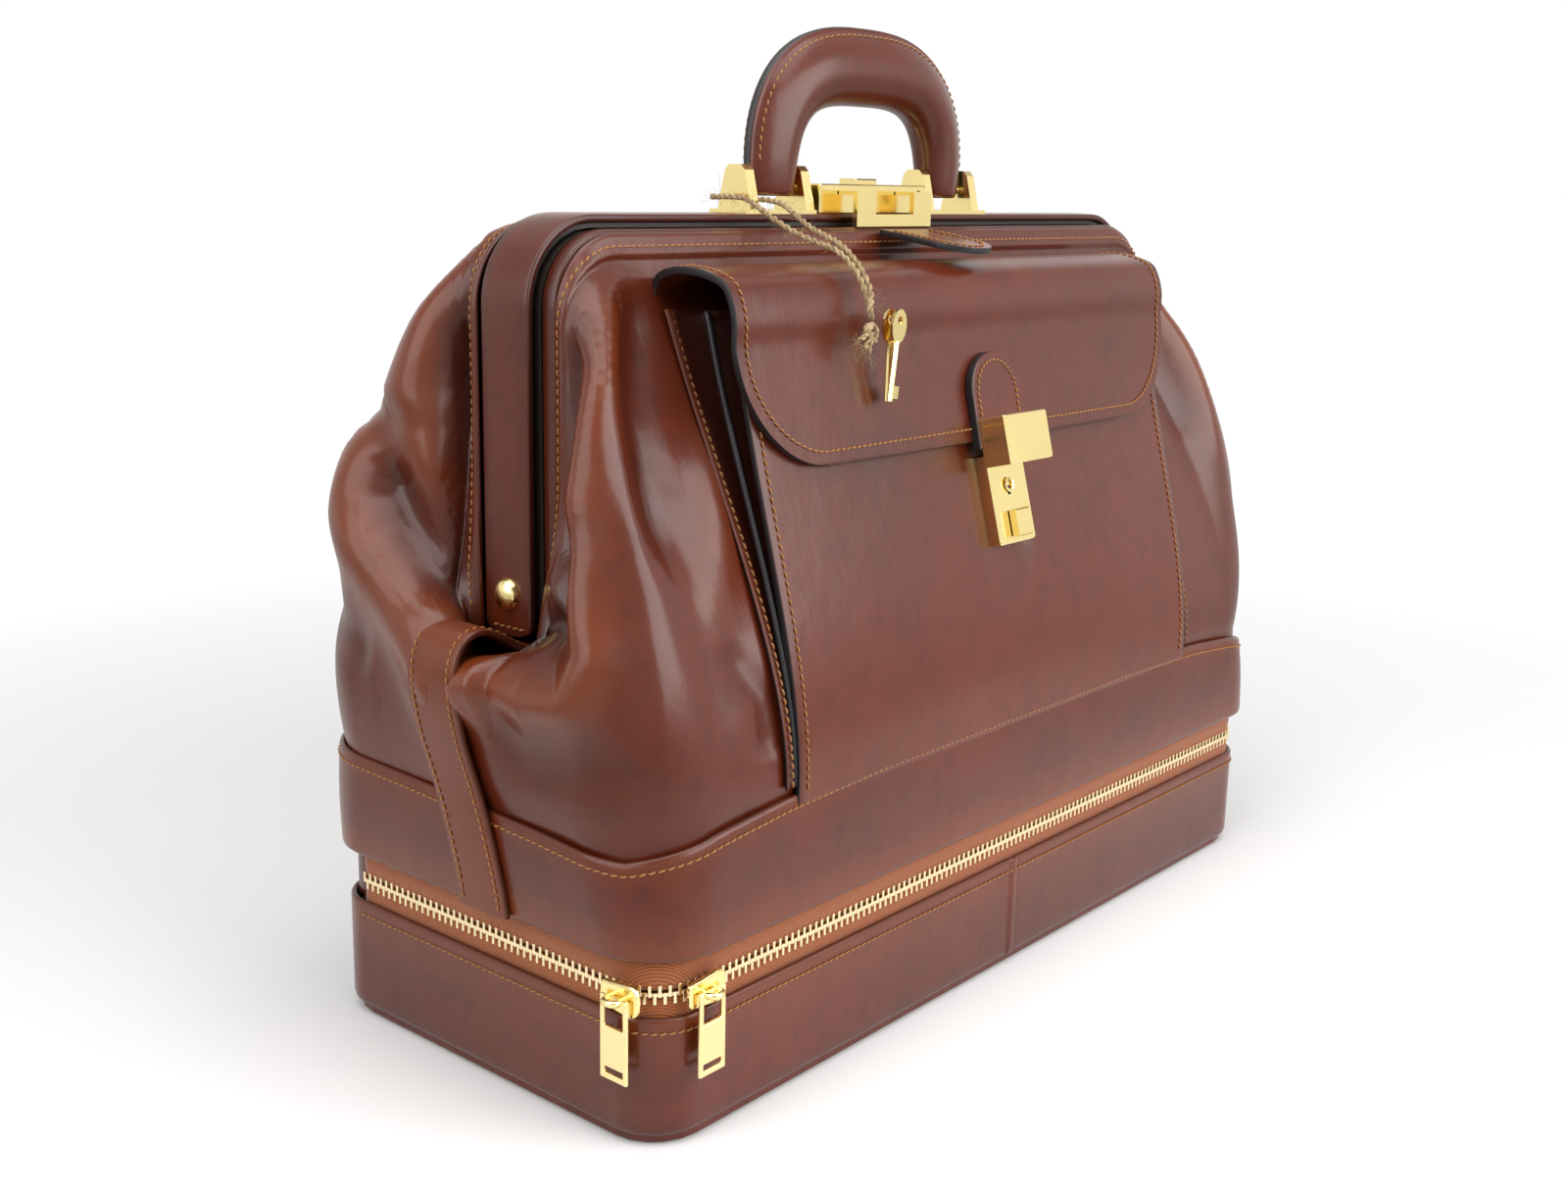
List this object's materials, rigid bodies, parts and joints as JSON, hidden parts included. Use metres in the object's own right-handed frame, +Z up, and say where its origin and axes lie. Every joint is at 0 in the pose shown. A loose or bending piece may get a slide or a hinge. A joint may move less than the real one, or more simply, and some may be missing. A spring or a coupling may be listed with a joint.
{
  "type": "doctor bag",
  "caption": "Leather doctor bag: hinged steel frame mouth, front pocket with flap and lock, brass top lock, carrying handle and a zipped tray in its base.",
  "frame": {"origin": "middle of the base's underside, on the floor", "axes": "+X along the bag to its right end, +Y to its back, +Z up; the pocket faces -Y"},
  "size_m": [0.4446, 0.188, 0.3759],
  "materials": {
    "leather": "polished reddish-brown cow leather",
    "leather_edge": "dark painted edges and gussets",
    "brass": "polished",
    "steel": "plain strip",
    "tape": "rust-orange woven zip tape",
    "lining": "tan cotton lining",
    "board": "lined board",
    "twine": "jute twine"
  },
  "bodies": {
    "tray": {"base_sole": "leather", "base_tray": "leather", "tray_lining": "lining", "zip_tape_lower": "tape", "zip_teeth_lower": "brass", "rear_hinge_strip": "leather"},
    "slider_left": {"zip_slider_left": "brass"},
    "pull_left": {"zip_pull_left": "brass"},
    "slider_right": {"zip_slider_right": "brass"},
    "pull_right": {"zip_pull_right": "brass"},
    "main_body": {"body_band": "leather", "divider_board": "board", "zip_tape_upper": "tape", "zip_teeth_upper": "brass", "end_strap_left": "leather", "end_strap_right": "leather"},
    "end_folds": {"end_fold_left": "leather", "end_fold_right": "leather"},
    "front_panel": {"front_leather": "leather", "pocket_front": "leather", "pocket_gusset_left": "leather_edge", "pocket_gusset_right": "leather_edge", "flap_fold": "leather", "pocket_lock_case": "brass", "twine": "twine"},
    "flap": {"pocket_flap": "leather", "flap_tongue": "leather", "flap_hasp": "brass", "twine_knot": "twine", "key_1": "brass", "key_2": "brass"},
    "pocket_slide": {"pocket_lock_slide": "brass"},
    "pocket_cylinder": {"pocket_lock_barrel": "brass"},
    "pull_tab": {"pull_tab": "leather"},
    "front_frame": {"front_frame_steel": "steel", "front_frame_cover": "leather", "top_hasp": "brass", "hinge_plate_left": "brass", "hinge_plate_right": "brass"},
    "rear_panel": {"rear_leather": "leather"},
    "rear_frame": {"rear_frame_cover": "leather", "rear_frame_steel": "steel", "rivet_left": "brass", "rivet_right": "brass", "handle_bracket_left": "brass", "handle_bracket_right": "brass", "handle_pin_left": "brass", "handle_pin_right": "brass", "lock_case": "brass"},
    "handle": {"handle_grip": "leather", "handle_welt": "leather_edge"},
    "lock_button": {"lock_button": "brass"},
    "lock_cylinder": {"lock_barrel": "brass"}
  },
  "joints": [
    {"name": "tray_open", "type": "hinge", "parent": "tray", "child": "main_body", "pos_m": [0, 0.0878, 0.0535], "axis": [-1, 0, 0], "range_deg": [0, 50], "deforming": ["rear_hinge_strip"]},
    {"name": "slider_left_travel", "type": "slide", "parent": "tray", "child": "slider_left", "axis": [0, 1, 0], "range_m": [0, 0.13]},
    {"name": "pull_left_swing", "type": "hinge", "parent": "slider_left", "child": "pull_left", "pos_m": [-0.2141, -0.0735, 0.0538], "axis": [0, 1, 0], "range_deg": [0, 120]},
    {"name": "slider_right_travel", "type": "slide", "parent": "tray", "child": "slider_right", "axis": [1, 0, 0], "range_m": [0, 0.37]},
    {"name": "pull_right_swing", "type": "hinge", "parent": "slider_right", "child": "pull_right", "pos_m": [-0.188, -0.0931, 0.0538], "axis": [-1, 0, 0], "range_deg": [0, 120]},
    {"name": "mouth_open", "type": "hinge", "parent": "main_body", "child": "front_panel", "pos_m": [0, -0.0876, 0.1126], "axis": [1, 0, 0], "range_deg": [0, 22], "deforming": ["end_strap_left", "end_strap_right", "end_fold_left", "end_fold_right", "twine"]},
    {"name": "end_fold_rise", "type": "slide", "parent": "main_body", "child": "end_folds", "axis": [0, 0, 1], "range_m": [0, 0.052]},
    {"name": "front_frame_tilt", "type": "hinge", "parent": "front_panel", "child": "front_frame", "pos_m": [0, -0.0198, 0.2975], "axis": [1, 0, 0], "range_deg": [0, 16.5]},
    {"name": "rear_panel_lean", "type": "hinge", "parent": "main_body", "child": "rear_panel", "pos_m": [0, 0.0916, 0.1126], "axis": [-1, 0, 0], "range_deg": [0, 22]},
    {"name": "rear_frame_tilt", "type": "hinge", "parent": "rear_panel", "child": "rear_frame", "pos_m": [0, 0.014, 0.302], "axis": [-1, 0, 0], "range_deg": [0, 16.5]},
    {"name": "flap_open", "type": "hinge", "parent": "front_panel", "child": "flap", "pos_m": [0, -0.06273, 0.2756], "axis": [-1, 0, 0], "range_deg": [0, 100], "deforming": ["twine"]},
    {"name": "pocket_slide_travel", "type": "slide", "parent": "front_panel", "child": "pocket_slide", "axis": [-1, 0, 0], "range_m": [0, 0.009], "stiffness_N_per_m": 80, "springref_m": -0.001},
    {"name": "pocket_key_turn", "type": "hinge", "parent": "front_panel", "child": "pocket_cylinder", "pos_m": [-0.006, -0.0788, 0.2011], "axis": [0, -0.9652, 0.2614], "range_deg": [0, 90]},
    {"name": "pull_tab_lift", "type": "hinge", "parent": "front_panel", "child": "pull_tab", "pos_m": [0, -0.0235, 0.2955], "axis": [-1, 0, 0], "range_deg": [0, 60]},
    {"name": "handle_swing", "type": "hinge", "parent": "rear_frame", "child": "handle", "pos_m": [-0.0045, 0, 0.3135], "axis": [1, 0, 0], "range_deg": [-75, 75]},
    {"name": "lock_button_press", "type": "slide", "parent": "rear_frame", "child": "lock_button", "axis": [0, 0, -1], "range_m": [0, 0.0014], "stiffness_N_per_m": 400, "springref_m": -0.001},
    {"name": "lock_key_turn", "type": "hinge", "parent": "rear_frame", "child": "lock_cylinder", "pos_m": [0.0245, -0.0057, 0.31], "axis": [0, -1, 0], "range_deg": [0, 90]}
  ],
  "couplings": [
    {"joint": "end_fold_rise", "follows": "mouth_open", "m_per_rad": 0.1328},
    {"joint": "front_frame_tilt", "follows": "mouth_open", "ratio": 0.75},
    {"joint": "rear_panel_lean", "follows": "mouth_open", "ratio": 1},
    {"joint": "rear_frame_tilt", "follows": "mouth_open", "ratio": 0.75}
  ]
}
